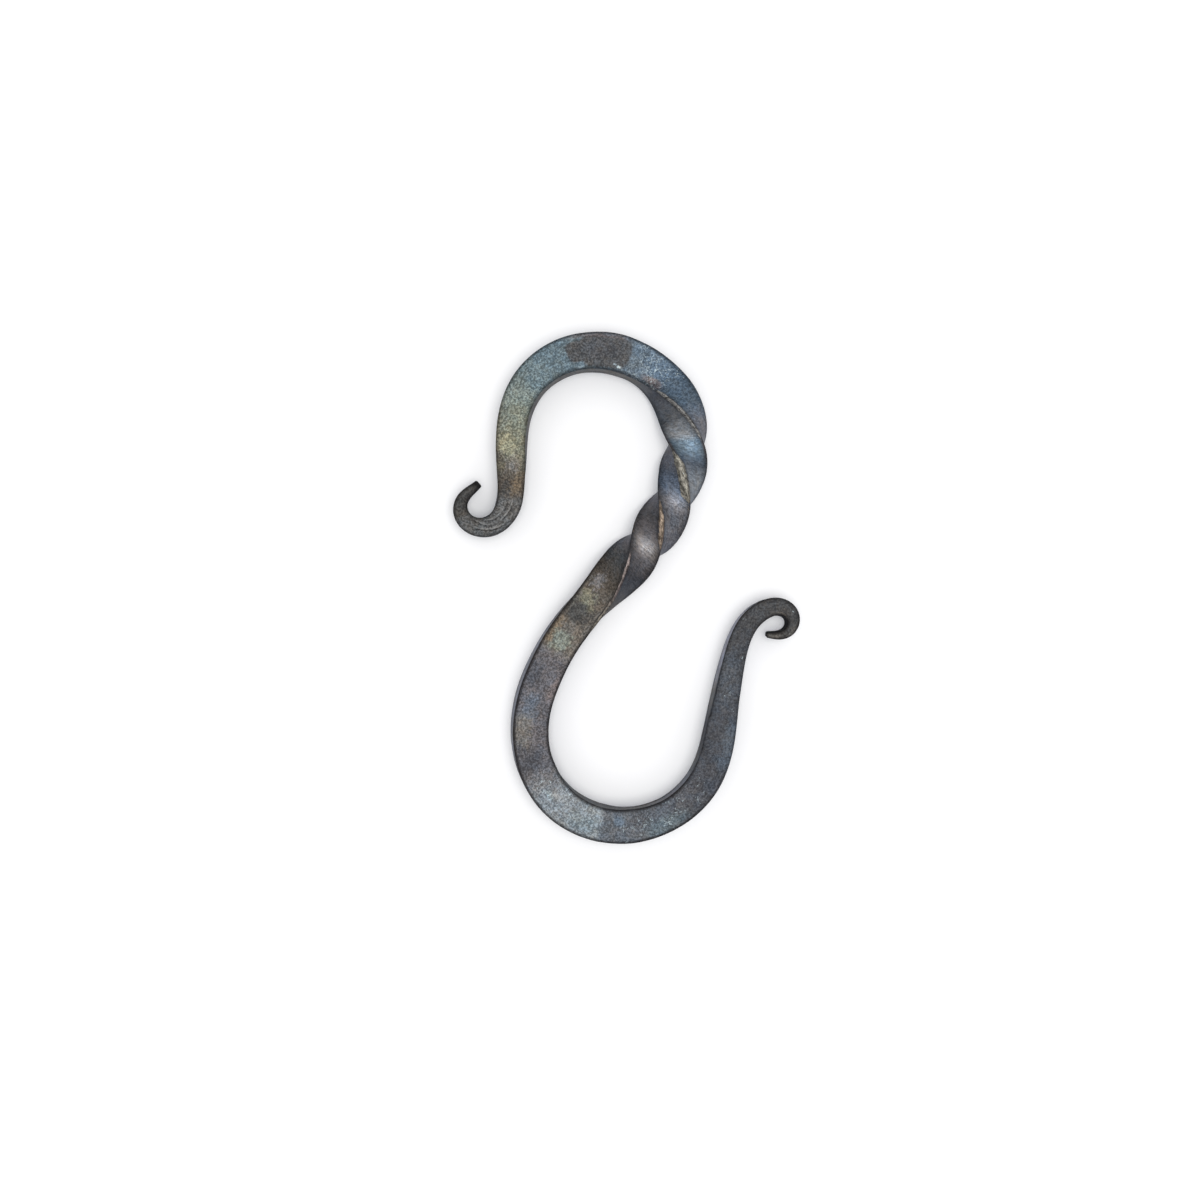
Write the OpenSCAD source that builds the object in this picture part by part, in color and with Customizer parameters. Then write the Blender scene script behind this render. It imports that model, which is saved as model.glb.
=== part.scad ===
// Twisted S hook, hand-forged in one piece from square bar.
// The bar is drawn as one chain of straights and bends, from the tip of the upper curl to the
// tip of the lower one. A rounded square section is carried along it: it narrows to both tips,
// and turns once round its own axis between the crown and the shank, where its ridges are
// struck flat above and below.
// The hook lies flat, as it rests on a table, with +Z up and the upper hook towards +Y.

/* [Bar] */
// Side of the square bar that the hook is forged from
bar = 6.35; // [5:0.05:8]
// Radius of the bar's long edges
edge_r = 0.4; // [0.1:0.05:0.8]
// Length over which one bend eases into the next
ease_len = 12; // [4:0.5:14]

/* [Upper curl] */
// Direction in which the bar leaves the upper tip, from +X
start_heading = -138.5; // [-180:0.5:180]
// Straight end of the upper curl
upper_tip_len = 3; // [1:0.5:5]
// Centre-line radius of the upper curl's tight half
upper_curl_r = 3.2; // [2.8:0.1:5]
// Turn of the upper curl's tight half
upper_curl_turn = 113; // [90:1:120]
// Centre-line radius of the upper curl's wide half
upper_mouth_r = 4.5; // [4:0.1:7]
// Turn of the upper curl's wide half
upper_mouth_turn = 115; // [90:1:120]

/* [Crown] */
// Straight leg between the upper curl and the crown
upper_leg_len = 13; // [8:0.5:30]
// Centre-line radius of the crown on the leg's side
crown_leg_r = 13.5; // [10:0.5:25]
// Turn of the crown on the leg's side
crown_leg_turn = 69; // [60:1:80]
// Centre-line radius of the crown on the twist's side
crown_twist_r = 16; // [12:0.5:25]
// Turn of the crown on the twist's side
crown_twist_turn = 121; // [110:1:130]

/* [Twisted shank] */
// Centre-line radius of the shoulder that leads from the crown into the shank
shoulder_r = 32; // [20:0.5:60]
// Turn of the shoulder
shoulder_turn = 33; // [20:1:40]
// Straight middle of the shank
shank_len = 14; // [8:0.5:40]
// How far before the end of the crown the twist starts
twist_lead = 12; // [0:0.5:20]
// Length of bar that is twisted
twist_len = 38.5; // [30:0.5:50]
// Length over which the twist fades in and out
twist_ease = 19; // [4:0.5:24]
// Quarter turns in the twist
twist_quarters = 4; // [2:1:6]
// Width of the flat that is struck on the ridges of the twist
ridge_flat = 0.6; // [0.4:0.05:0.8]

/* [Bowl] */
// Centre-line radius of the bend that leads from the shank into the bowl
entry_r = 39.5; // [30:0.5:60]
// Turn of the bend that leads into the bowl
entry_turn = 29; // [20:1:40]
// Centre-line radius of the bowl
bowl_r = 16.5; // [12:0.5:25]
// Turn of the bowl
bowl_turn = 188; // [170:1:200]

/* [Lower leg and curl] */
// Centre-line radius of the slightly curved lower leg
lower_leg_r = 120; // [60:5:200]
// Turn of the lower leg
lower_leg_turn = 9; // [5:1:14]
// Centre-line radius of the lower curl's wide part
lower_mouth_r = 8.1; // [7:0.1:12]
// Turn of the lower curl's wide part
lower_mouth_turn = 64; // [50:1:80]
// Centre-line radius of the lower curl's tight part
lower_curl_r = 2.3; // [2.2:0.1:4]
// Turn of the lower curl's tight part
lower_curl_turn = 196; // [170:1:210]
// Straight end of the lower curl
lower_tip_len = 2; // [1:0.5:3]

/* [Tapers] */
// Width of the upper tip
upper_tip_w = 1.35; // [1:0.05:2.5]
// Length of the upper leg's taper, from the tip to full width
upper_taper_len = 60; // [40:1:80]
// How much more the upper curl's own taper takes off at the tip
upper_point_drop = 2.5; // [0:0.1:3.5]
// Length of the upper curl's own taper
upper_point_len = 27; // [10:1:35]
// Width of the lower tip
lower_tip_w = 0.8; // [0.6:0.05:2.5]
// Length of the lower leg's taper, from the tip to full width
lower_taper_len = 82; // [40:1:90]
// How much more the lower curl's own taper takes off at the tip
lower_point_drop = 1.9; // [0:0.1:2.2]
// Length of the lower curl's own taper
lower_point_len = 12; // [4:0.5:20]
// Thickness of both tips
tip_t = 2.8; // [2:0.1:5]
// Length over which the thickness comes up to the bar's side
thin_len = 30; // [15:1:60]

/* [Hidden] */

// Hollowness of the tapers: 1 would be a straight wedge
taper_power = 1.5;
// Largest share of a width that one rounded edge takes up, where the bar is thin
edge_share = 1 / 3;
// Height of the struck flats over the middle of the bar, below the corner of a square on edge
ridge_h = bar / sqrt(2) - ridge_flat / 2;
// Easing length at the very tips, and its growth along the bar
tip_ease = 2;
tip_ease_rate = 0.35;
// Widest step between two rings of the skin, along the bar and in turn
ring_step = 0.9;
ring_turn = 7;
// Steps in each rounded edge of the section, and rings in each rounded tip
edge_steps = 2;
tip_rings = 3;
// Most times that one straight line can pass through the bar
bar_crossings = 6;

// A bend to the left or right: [length of centre line, turn]
function bend(r, turn) = [r * abs(turn) * PI / 180, turn];
function straight(len) = [len, 0];

chain = [
    straight(upper_tip_len),
    bend(upper_curl_r, upper_curl_turn),
    bend(upper_mouth_r, upper_mouth_turn),
    straight(upper_leg_len),
    bend(crown_leg_r, -crown_leg_turn),
    bend(crown_twist_r, -crown_twist_turn),
    bend(shoulder_r, -shoulder_turn),
    straight(shank_len),
    bend(entry_r, entry_turn),
    bend(bowl_r, bowl_turn),
    bend(lower_leg_r, -lower_leg_turn),
    bend(lower_mouth_r, -lower_mouth_turn),
    bend(lower_curl_r, -lower_curl_turn),
    straight(lower_tip_len)
];
crown_end = 6; // number of links from the upper tip to the end of the crown

// Running total of a list, starting from a given value
function running(list, start = 0) = [
    for (i = 0, sum = start; i <= len(list); sum = sum + (i < len(list) ? list[i] : 0), i = i + 1) sum
];

at = running([for (link = chain) link[0]]);                     // where each link starts
heading_at = running([for (link = chain) link[1]], start_heading); // and its heading there
links = len(chain);
bar_len = at[links];
twist_start = at[crown_end] - twist_lead;

// Area under the plain heading curve, which is a ramp over each link and level past the ends
link_area = running([for (i = [0:links - 1]) chain[i][0] * (heading_at[i] + heading_at[i + 1]) / 2]);
function link_of(s, i = 0) = i == links - 1 || s < at[i + 1] ? i : link_of(s, i + 1);
function ramp_area(s, i) =
    link_area[i] + heading_at[i] * (s - at[i]) + chain[i][1] / chain[i][0] * pow(s - at[i], 2) / 2;
function heading_area(s) =
    s < 0 ? s * heading_at[0]
    : s > bar_len ? link_area[links] + (s - bar_len) * heading_at[links]
    : ramp_area(s, link_of(s));

// Heading at s: the plain heading, averaged over the easing length, which is short at the tips
function ease(s) = min(ease_len, tip_ease + tip_ease_rate * min(s, bar_len - s));
function heading(s) = (heading_area(s + ease(s) / 2) - heading_area(s - ease(s) / 2)) / ease(s);

// Angle of the section at s: a ramp of the full twist, averaged over its own easing length
function ramp_sum(s) = s < 0 ? 0 : s < twist_len ? s * s / twist_len / 2 : s - twist_len / 2;
function twist(s) = -90 * twist_quarters / twist_ease
    * (ramp_sum(s - twist_start + twist_ease / 2) - ramp_sum(s - twist_start - twist_ease / 2));

// What a taper takes off at distance s from its tip
function taper(s, length, drop) = s < length ? drop * pow(1 - s / length, taper_power) : 0;

function width(s) =
    bar
    - taper(s, upper_taper_len, bar - upper_tip_w - upper_point_drop)
    - taper(s, upper_point_len, upper_point_drop)
    - taper(bar_len - s, lower_taper_len, bar - lower_tip_w - lower_point_drop)
    - taper(bar_len - s, lower_point_len, lower_point_drop);

function thickness(s) =
    bar
    - taper(s, thin_len, bar - tip_t)
    - taper(bar_len - s, thin_len, bar - tip_t);

// The tips' rims are rounded like the long edges: how far the section draws in near a tip
tip_round = min(edge_r, edge_share * min(upper_tip_w, lower_tip_w));
function rim(s) = s < tip_round ? tip_round - sqrt(pow(tip_round, 2) - pow(tip_round - s, 2)) : 0;
function draw_in(s) = rim(max(0, min(s, bar_len - s)));

// Rounded rectangle, anticlockwise, as points across and up
function section(w, t) =
    let (r = min(edge_r, edge_share * w))
    [for (corner = [0:3], step = [0:edge_steps])
        let (a = 90 * (corner + step / edge_steps),
             side = corner == 0 || corner == 3 ? 1 : -1,
             top = corner < 2 ? 1 : -1)
        [side * (w / 2 - r) + r * cos(a), top * (t / 2 - r) + r * sin(a)]
    ];

// Places of the rings along the bar: even steps in each link, and close ones round each tip's rim
function steps(link) = ceil(max(link[0] / ring_step, abs(link[1]) / ring_turn));
tip_steps = [for (i = [0:tip_rings - 1]) tip_round * (1 - cos(90 * i / tip_rings))];
stations = concat(
    tip_steps,
    [for (i = [0:links - 1], n = steps(chain[i]), k = [0:n - 1])
        let (s = at[i] + chain[i][0] * k / n)
        if (s > tip_round && s < bar_len - tip_round) s],
    [for (i = [tip_rings - 1:-1:0]) bar_len - tip_steps[i]]
);
rings = len(stations);

// Centre line through the stations: each step goes along the heading at its middle
function way(i) =
    let (length = stations[i + 1] - stations[i], a = heading((stations[i] + stations[i + 1]) / 2))
    length * [cos(a), sin(a)];
ways = [for (i = [0:rings - 2]) way(i)];
line_x = running([for (w = ways) w.x]);
line_y = running([for (w = ways) w.y]);

// One ring of the skin: the section, turned by the twist, held down to the struck flats and set
// square to the heading
function ring(i) =
    let (s = stations[i], a = twist(s), across = [-sin(heading(s)), cos(heading(s))])
    [for (p = section(width(s) - 2 * draw_in(s), thickness(s) - 2 * draw_in(s)))
        let (u = p.x * cos(a) - p.y * sin(a), v = p.x * sin(a) + p.y * cos(a))
        [line_x[i] + u * across.x, line_y[i] + u * across.y, max(-ridge_h, min(ridge_h, v))]
    ];
skin = [for (i = [0:rings - 1]) each ring(i)];

// The hook stands on z = 0, centred on the origin
function middle(list) = (min(list) + max(list)) / 2;
shift = [middle([for (p = skin) p.x]), middle([for (p = skin) p.y]), min([for (p = skin) p.z])];

module hook() {
    n = 4 * (edge_steps + 1);
    walls = [for (i = [0:rings - 2], k = [0:n - 1])
        let (a = i * n + k, b = i * n + (k + 1) % n)
        each [[a, a + n, b], [b, a + n, b + n]]
    ];
    ends = [[for (k = [0:n - 1]) k], [for (k = [n - 1:-1:0]) (rings - 1) * n + k]];
    color([0.27, 0.29, 0.31])
        translate(-shift)
            polyhedron(points = skin, faces = concat(walls, ends), convexity = bar_crossings);
}

hook();
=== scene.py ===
"""Looks of a twisted S hook, hand-forged in one piece from square bar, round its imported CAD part.

The bar is swept again along the CAD part's own centre line, with many more points and with what
the hammer left on it. Its finish is laid out on the bar as it was before it was twisted and bent:
every point of the mesh keeps its place along, across and up the straight bar, and the material
reads that. Lengths are millimetres and angles degrees up to the point where a mesh or a light is
made.
"""

import math
from types import SimpleNamespace

import bpy
import numpy as np
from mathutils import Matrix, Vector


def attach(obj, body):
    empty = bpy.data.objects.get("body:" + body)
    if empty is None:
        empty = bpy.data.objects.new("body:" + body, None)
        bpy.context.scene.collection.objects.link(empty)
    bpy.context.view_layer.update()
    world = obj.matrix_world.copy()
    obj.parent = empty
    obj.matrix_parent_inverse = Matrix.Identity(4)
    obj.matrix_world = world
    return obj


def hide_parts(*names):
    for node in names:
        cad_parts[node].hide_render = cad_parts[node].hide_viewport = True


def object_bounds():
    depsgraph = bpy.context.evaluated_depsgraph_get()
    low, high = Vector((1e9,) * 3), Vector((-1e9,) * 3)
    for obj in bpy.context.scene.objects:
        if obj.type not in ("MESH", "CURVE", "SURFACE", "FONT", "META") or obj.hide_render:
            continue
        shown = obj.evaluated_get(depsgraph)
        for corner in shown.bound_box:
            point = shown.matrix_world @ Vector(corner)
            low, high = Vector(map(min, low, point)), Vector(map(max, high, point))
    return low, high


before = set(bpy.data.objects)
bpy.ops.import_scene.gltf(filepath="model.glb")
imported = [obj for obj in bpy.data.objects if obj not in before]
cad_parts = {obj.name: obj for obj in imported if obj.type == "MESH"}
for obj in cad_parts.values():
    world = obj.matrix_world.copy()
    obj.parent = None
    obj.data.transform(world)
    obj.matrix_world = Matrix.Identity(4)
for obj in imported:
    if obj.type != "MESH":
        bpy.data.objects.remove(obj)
cad_low, cad_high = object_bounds()

MM = 0.001
scene = bpy.context.scene


# Camera

PHOTO_SIDE_PX = 1200
# Focal length of the photograph, from how much of the walls shows away from its middle
FOCAL_PX = 1620
PX_PER_MM = 5.6
# Height at which that scale holds: the underside of the flat bar, which the twist's ridges lift
FLATS_UNDERSIDE = 1.015
CAMERA_OVER = (-4.55, -2.09)
SENSOR_WIDTH = 36
NEAREST_SEEN = 10


def make_camera():
    """Camera that looks straight down from the height at which the scale and the focal length
    agree."""
    data = bpy.data.cameras.new("camera")
    data.sensor_width = SENSOR_WIDTH
    data.lens = SENSOR_WIDTH * FOCAL_PX / PHOTO_SIDE_PX
    data.clip_start = NEAREST_SEEN * MM
    camera = bpy.data.objects.new("camera", data)
    height = FLATS_UNDERSIDE + FOCAL_PX / PX_PER_MM
    camera.location = (CAMERA_OVER[0] * MM, CAMERA_OVER[1] * MM, height * MM)
    scene.collection.objects.link(camera)
    scene.camera = camera


make_camera()


# Driving dimensions of the bar, the same as the CAD part's

BAR = 6.35
EDGE_R = 0.4
EASE_LEN = 12
TIP_EASE = 2
TIP_EASE_RATE = 0.35
START_HEADING = -138.5


def straight(length):
    """A straight link of the centre line: its length and no turn."""
    return (length, 0)


def bend(radius, turn):
    """A bend of the centre line: the length of its arc, and its turn, which is positive to the
    left."""
    return (radius * math.radians(abs(turn)), turn)


CHAIN = [
    straight(3),  # upper tip
    bend(3.2, 113),  # upper curl, tight half
    bend(4.5, 115),  # upper curl, wide half
    straight(13),  # upper leg
    bend(13.5, -69),  # crown on the leg's side
    bend(16, -121),  # crown on the twist's side
    bend(32, -33),  # shoulder
    straight(14),  # shank
    bend(39.5, 29),  # entry to the bowl
    bend(16.5, 188),  # bowl
    bend(120, -9),  # lower leg
    bend(8.1, -64),  # lower curl, wide part
    bend(2.3, -196),  # lower curl, tight part
    straight(2),  # lower tip
]
CROWN_END = 6  # links from the upper tip to the end of the crown

TWIST_LEAD = 12
TWIST_LEN = 38.5
TWIST_EASE = 19
TWIST_QUARTERS = 4
# Width of the flats on the twist's ridges, and their height over the middle of the bar
RIDGE_FLAT = 0.6
RIDGE_H = BAR / math.sqrt(2) - RIDGE_FLAT / 2

UPPER_TIP_W = 1.35
UPPER_POINT_DROP = 2.5
LOWER_TIP_W = 0.8
LOWER_POINT_DROP = 1.9
TIP_T = 2.8
# Tapers as (length, drop): what each takes off the bar's width or thickness at its tip
UPPER_TAPERS = [(60, BAR - UPPER_TIP_W - UPPER_POINT_DROP), (27, UPPER_POINT_DROP)]
LOWER_TAPERS = [(82, BAR - LOWER_TIP_W - LOWER_POINT_DROP), (12, LOWER_POINT_DROP)]
THIN_TAPER = (30, BAR - TIP_T)
TAPER_POWER = 1.5
# Largest share of a width that one rounded edge takes up, and the radius of the tips' rims
EDGE_SHARE = 1 / 3
TIP_ROUND = LOWER_TIP_W * EDGE_SHARE


# What the hammer left, which is finer than the CAD part, as (place along the bar, amount) pairs

# How far the top of the section leans to the left of its underside
LEAN = [
    (0, 0.5), (5, 0.45), (9, -0.1), (13, -0.55), (18, -0.75), (22, -0.4), (25, -0.2), (29, 0.15),
    (34, 0.15), (38, 0), (43, -0.15), (50, -0.15), (58, 0), (105, 0), (117, 0.35), (127, 0.75),
    (139, 0.75), (146, 0.6), (152, 0.25), (160, 0), (167, 0.3), (178, 0), (185, -0.2),
    (198, -0.3), (212, 0.1), (220, 0.5),
]
# How much wider than its tapers the bar is
FULLNESS = [
    (2, 0), (5, 0), (13, 0.05), (20, -0.1), (25, -0.05), (29, -0.3), (34, -0.3), (38, -0.2),
    (44, 0), (50, 0.15), (58, 0.3), (64, 0), (72, -0.35), (81, -0.3), (85, -0.55), (89, -0.05),
    (93, -0.15), (97, 0.2), (101, 0.1), (105, 0), (117, 0.05), (130, 0), (134, -0.1), (141, -0.1),
    (146, 0.15), (151, 0.15), (158, 0), (165, 0.1), (173, 0), (181, 0.35), (189, 0.45),
    (192, 0.25), (196, -0.05), (204, -0.2), (212, -0.05), (221, -0.2), (225, 0.1),
]
# How far the bar strays to the left of its centre line
DRIFT = [
    (1, 0.12), (4, 0), (10, 0), (18, -0.05), (30, -0.08), (40, 0), (64, 0), (69, 0.04),
    (94, 0.04), (97, 0.12), (100, 0.04), (112, 0), (120, 0.03), (134, 0.05), (141, 0.05),
    (145, 0), (149, -0.13), (153, -0.17), (157, -0.08), (161, 0), (170, 0), (174, -0.08),
    (180, -0.13), (206, -0.05), (213, 0), (221, 0.1), (225, 0.15),
]
# How much further than its even pitch the bar is twisted
TWIST_DRIFT = [(97, 0), (102, -5), (109, -5), (116, 0)]
# Height over the middle of the bar to which the ridges of the twist were struck flat
RIDGE_LEVEL = [(76, RIDGE_H), (80, 3.72), (88, 3.72), (91, 4.0), (97, 4.0), (100, RIDGE_H)]
# Rounding of the borders of the flats that are struck there and at the upper tip
STRUCK_BLEND = 0.03
# Bare strips that follow the corners of the bar over the top of the twist: the side of the corner
# across and up, how far in from it the strip lies across and up, and (place, reach) pairs
BARE_STRIPS = [
    (-1, 1, 0, 0.15, [(66, 0), (69, 0.45), (76, 0.45), (78, 0.2), (79, 0)]),
    # From 74 to 80 this strip is a painted highlight along the corner; past 80 it is bare
    (-1, -1, 0.4, 0, [
        (74, 0), (76, 0.2), (80, 0.2), (81.2, 0.6), (82.5, 1.05), (87.8, 1.25), (88.5, 0),
    ]),
    (1, -1, 0, 0, [(89.5, 0), (91.3, 0.55), (93, 0.8), (96, 0.85), (98, 0)]),
    (1, 1, 0, 0.3, [(101, 0), (102.5, 0.4), (106, 0.35), (110, 0.5), (114, 0.6), (118, 0)]),
]
STRIP_FADE = 0.35
# Bevel that closes the upper tip
BEVEL_LEN = 1.3
BEVEL_DEPTH = 0.9
# Burr on the left edge of the lower leg: it grows up to one place and ends in a small step
BURR_FROM = 182
BURR_TO = 192.3
BURR_END = 192.8
BURR_DEPTH = 0.2
# Laps in the top of the upper curl, where the scale was folded over: (place, across) points
LAPS = [
    [(8.4, 1.15), (11, 0.68), (13, 0.05), (15, -0.25), (17, -0.58), (19.5, -0.75)],
    [(9.2, -0.25), (11.5, -0.43), (14, -0.95), (15.5, -1.3)],
    [(11.5, 1.25), (14, 0.75), (16.5, 0.45), (19, 0.35)],
]
LAP_FADE = 1.2
GROOVE_DEPTH = 0.12
GROOVE_HALF_WIDTH = 0.11
LIP_HEIGHT = 0.07
LIP_WIDTH = 0.5
# Painted highlight on the lip, beside the painted shade in the groove: its distance from the lap's
# line, and half its width
LIP_HIGHLIGHT_OFF = 0.26
LIP_HIGHLIGHT_HALF_WIDTH = 0.12
# Blows of the hammer: their number, how far each one reaches, how far from the middle of a face
# it falls as a share of the side, and the share of the full depth that it has
BLOWS = 150
BLOW_REACH = (2.2, 5)
BLOW_OFF = 0.35
BLOW_FORCE = (0.3, 1)
BLOW_DEPTH = 0.045
BLOW_SEED = 4
# How far each long edge strays, and the spacing of that wander, which grows from edge to edge
EDGE_WANDER = 0.035
WANDER_SPACING = 3.5
WANDER_SEED = 10

# The mesh: rings along the bar and round each tip's rim, and steps round one ring
RINGS = 1150
RIM_RINGS = 4
ARC_STEPS = 4
FACE_STEPS = (24, 8)
# Width beside each long edge that the dishes leave alone
EDGE_BAND = 0.3
# Dark line of painted shade along each long edge: its share beside the rounding, and how fast it
# fades from there
LINE_SHARE = 0.6
LINE_FADE = 0.12


# Centre line

link_len, link_turn = np.array(CHAIN, float).T
link_at = np.concatenate([[0], np.cumsum(link_len)])
heading_at = np.radians(START_HEADING + np.concatenate([[0], np.cumsum(link_turn)]))
link_area = np.concatenate([[0], np.cumsum(link_len * (heading_at[1:] + heading_at[:-1]) / 2)])
BAR_LEN = link_at[-1]
TWIST_START = link_at[CROWN_END] - TWIST_LEAD


def heading_area(s):
    """Area under the plain heading curve up to s. The plain heading is a ramp over each link, so
    its area there is the area up to the link, plus heading times distance, plus half the rate times
    distance squared; past both ends the heading stays level."""
    link = np.clip(np.searchsorted(link_at, s, side="right") - 1, 0, len(link_len) - 1)
    inside = np.clip(s, 0, BAR_LEN)
    gone = inside - link_at[link]
    rate = np.radians(link_turn[link]) / link_len[link]
    area = link_area[link] + heading_at[link] * gone + rate * gone**2 / 2
    return area + np.minimum(s, 0) * heading_at[0] + np.maximum(s - BAR_LEN, 0) * heading_at[-1]


def heading(s):
    """Heading at s in radians: the plain heading averaged over the easing length, which grows from
    a short one at each tip to the full one."""
    ease = np.minimum(EASE_LEN, TIP_EASE + TIP_EASE_RATE * np.minimum(s, BAR_LEN - s))
    return (heading_area(s + ease / 2) - heading_area(s - ease / 2)) / ease


def centre_line(s):
    """Points of the centre line: from each station to the next it steps along the heading
    halfway."""
    turn = heading((s[1:] + s[:-1]) / 2)
    step = np.diff(s)
    x = np.concatenate([[0], np.cumsum(step * np.cos(turn))])
    y = np.concatenate([[0], np.cumsum(step * np.sin(turn))])
    return x, y


def twist_area(d):
    """Area under the plain twist ramp, which goes from 0 to 1 over the twisted length: distance
    squared over twice that length inside it, and one for one past it."""
    inside = np.clip(d, 0, TWIST_LEN)
    return inside**2 / TWIST_LEN / 2 + np.maximum(d - TWIST_LEN, 0)


def twist(s):
    """Even angle of the section at s in radians: a ramp of the full left-hand twist, averaged over
    its own easing length, so that it fades in and out."""
    d = s - TWIST_START
    ramp = (twist_area(d + TWIST_EASE / 2) - twist_area(d - TWIST_EASE / 2)) / TWIST_EASE
    return np.radians(-90 * TWIST_QUARTERS) * ramp


# Section

def along_the_bar(s, pairs):
    """Value at s between (place, value) pairs, in straight steps."""
    return np.interp(s, *np.array(pairs, float).T)


def taper(d, length, drop):
    """What a taper takes off at distance d from its tip: its drop there, and nothing past its
    length. Between, it is the drop times the remaining share of the length to a power."""
    return drop * np.clip(1 - d / length, 0, 1) ** TAPER_POWER


def width(s):
    """Width of the bar at s: the bar's side, less the tapers from both tips."""
    upper = sum(taper(s, *one) for one in UPPER_TAPERS)
    lower = sum(taper(BAR_LEN - s, *one) for one in LOWER_TAPERS)
    return BAR - upper - lower


def thickness(s):
    """Thickness of the bar at s: the bar's side, less one short taper from each tip."""
    return BAR - taper(s, *THIN_TAPER) - taper(BAR_LEN - s, *THIN_TAPER)


def draw_in(s):
    """How far the section draws in near a tip, so that the tip's rim is a quarter round."""
    gap = np.clip(TIP_ROUND - np.minimum(s, BAR_LEN - s), 0, TIP_ROUND)
    return TIP_ROUND - np.sqrt(TIP_ROUND**2 - gap**2)


def round_the_section():
    """Goes once round a square with rounded edges. Gives the share of the half side at which each
    point's centre of rounding stands, across and up, and the direction in which the point lies from
    it. A face's points are closer together near its edges: their shares are half even and half a
    sine."""
    shares_x, shares_y, directions = [], [], []
    for quarter in range(4):
        steps = FACE_STEPS[quarter % 2]
        t = np.linspace(1, -1, steps + 1)[1:-1]
        face = (t + np.sin(t * np.pi / 2)) / 2
        along = np.concatenate([np.ones(ARC_STEPS + 1), face])
        angle = np.concatenate([np.linspace(0, 90, ARC_STEPS + 1), np.full(steps - 1, 90)])
        c = round(math.cos(quarter * math.pi / 2))
        s = round(math.sin(quarter * math.pi / 2))
        shares_x.append(c * along - s)
        shares_y.append(s * along + c)
        directions.append(np.radians(angle + 90 * quarter))
    return np.concatenate(shares_x), np.concatenate(shares_y), np.concatenate(directions)


def square_bar(s, wide, thick):
    """The rounded section at each station, before it is turned: its points across and up, each
    one's distance from the nearest rounded edge, and the direction in which its face looks."""
    share_x, share_y, direction = (a[None, :] for a in round_the_section())
    shrink = 2 * draw_in(s)[:, None]
    w, t = wide - shrink, thick - shrink
    r = np.minimum(EDGE_R, EDGE_SHARE * w)
    across = share_x * (w / 2 - r) + r * np.cos(direction)
    up = share_y * (t / 2 - r) + r * np.sin(direction)
    gap = np.maximum((1 - np.abs(share_x)) * (w / 2 - r), (1 - np.abs(share_y)) * (t / 2 - r))
    return across, up, gap, np.broadcast_to(direction, across.shape)


def turned(s, across, up, drift=0.0):
    """The section's points, turned by the twist and a drift in degrees: sideways to the left, and
    up."""
    a = (twist(s) + np.radians(drift))[:, None]
    return across * np.cos(a) - up * np.sin(a), across * np.sin(a) + up * np.cos(a)


def set_on_line(s, sideways):
    """Points at their distance to the left of the centre line."""
    x, y = centre_line(s)
    h = heading(s)
    return x[:, None] - np.sin(h)[:, None] * sideways, y[:, None] + np.cos(h)[:, None] * sideways


# Marks of the hammer

def soft_min(a, b, blend):
    """The smaller of a and b, with the corner between them rounded over about the blend: the blend
    times the logarithm of the sum of exp(-a / blend) and exp(-b / blend), turned round."""
    return -blend * np.logaddexp(-a / blend, -b / blend)


def slow_noise(s, spacing, seed):
    """Noise along the bar from -1 to 1: random values at even spacing, joined by smooth steps."""
    rng = np.random.default_rng(seed)
    values = rng.uniform(-1, 1, int(BAR_LEN / spacing) + 3)
    place = s / spacing + 1
    whole = np.floor(place).astype(int)
    t = place - whole
    t = t * t * (3 - 2 * t)
    return values[whole] * (1 - t) + values[whole + 1] * t


def hammer_blows(s, around, side_len):
    """How far the faces stand in under the blows of the hammer. Each blow is a shallow dish, depth
    times exp(-(distance / reach) squared), at a random place on one of the four faces. around is
    the distance round the section in sides, so that a face's middle is a whole number."""
    rng = np.random.default_rng(BLOW_SEED)
    depth = np.zeros_like(s)
    for _ in range(BLOWS):
        place, face = rng.uniform(0, BAR_LEN), rng.integers(0, 4)
        across, reach = rng.uniform(-BLOW_OFF, BLOW_OFF), rng.uniform(*BLOW_REACH)
        off = (around - face - across + 2) % 4 - 2
        away = ((s - place) / reach) ** 2 + (off * side_len / reach) ** 2
        depth += rng.uniform(*BLOW_FORCE) * BLOW_DEPTH * np.exp(-away)
    return depth


def edge_wander(s, around):
    """How far the nearest long edge strays outwards: a slow noise of its own for each edge."""
    edge = np.round(around - 0.5).astype(int) % 4
    noises = [slow_noise(s, WANDER_SPACING + k, WANDER_SEED + k) for k in range(4)]
    return EDGE_WANDER * np.select([edge == k for k in range(4)], noises)


def laps(s, across, up):
    """The laps in the top of the upper curl: a mark that goes from 1 for the painted shade in a
    lap's groove to -1 for the painted highlight on its lip, and how far each point stands out.
    Beside a lap's line the groove is exp(-(distance / half width) squared), and past it the folded
    lip rises and falls off as exp(-distance / lip width)."""
    mark, rise = np.zeros_like(s), np.zeros_like(s)
    for points in LAPS:
        places, lines = np.array(points, float).T
        off = across - np.interp(s, places, lines)
        ends = np.clip(np.minimum(s - places[0], places[-1] - s) / LAP_FADE, 0, 1) * (up > 0)
        groove = np.exp(-((off / GROOVE_HALF_WIDTH) ** 2))
        lip = np.where(off > 0, np.exp(-np.abs(off) / LIP_WIDTH), 0)
        # Painted highlight on the lip, and painted shade in the groove
        lip_highlight = np.exp(-(((off - LIP_HIGHLIGHT_OFF) / LIP_HIGHLIGHT_HALF_WIDTH) ** 2))
        mark += ends * (groove - lip_highlight)
        rise += ends * (LIP_HEIGHT * lip - GROOVE_DEPTH * groove)
    return np.clip(mark, -1, 1), rise


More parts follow.
